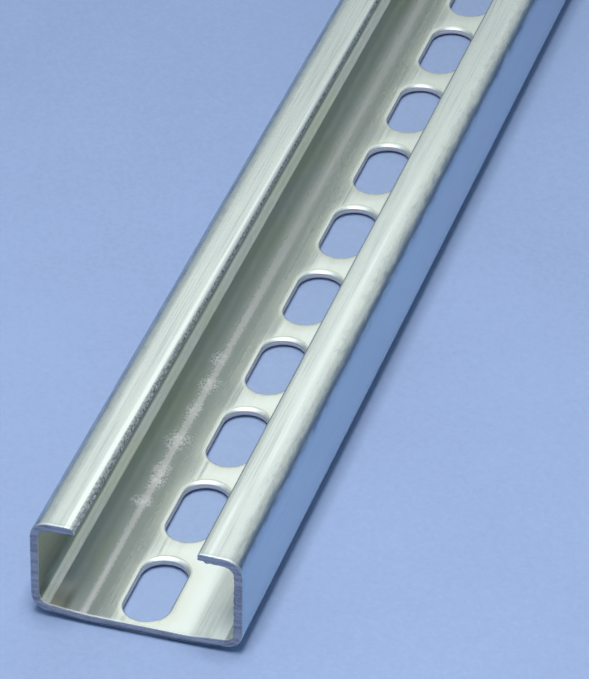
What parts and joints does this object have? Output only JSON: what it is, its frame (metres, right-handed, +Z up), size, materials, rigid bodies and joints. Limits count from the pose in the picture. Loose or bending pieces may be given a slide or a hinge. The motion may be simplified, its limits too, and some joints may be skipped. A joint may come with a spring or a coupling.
{
  "type": "slotted c-channel",
  "caption": "Length of rolled steel C-channel with inturned flat lips and a row of long slots down its web, for bolting up frames, brackets and clamps.",
  "frame": {"origin": "middle of the length and width, at the underside of the web", "axes": "+Y along the channel, +X across it, +Z up through the mouth, away from the web"},
  "size_m": [0.041, 0.5, 0.021],
  "materials": {
    "zinc_plated_steel": "bright zinc plating, faintly yellow-green, with drawn streaks, rubbed lines and small scuffs along the length"
  },
  "bodies": {
    "root": {"c_channel": "zinc_plated_steel"}
  },
  "joints": []
}
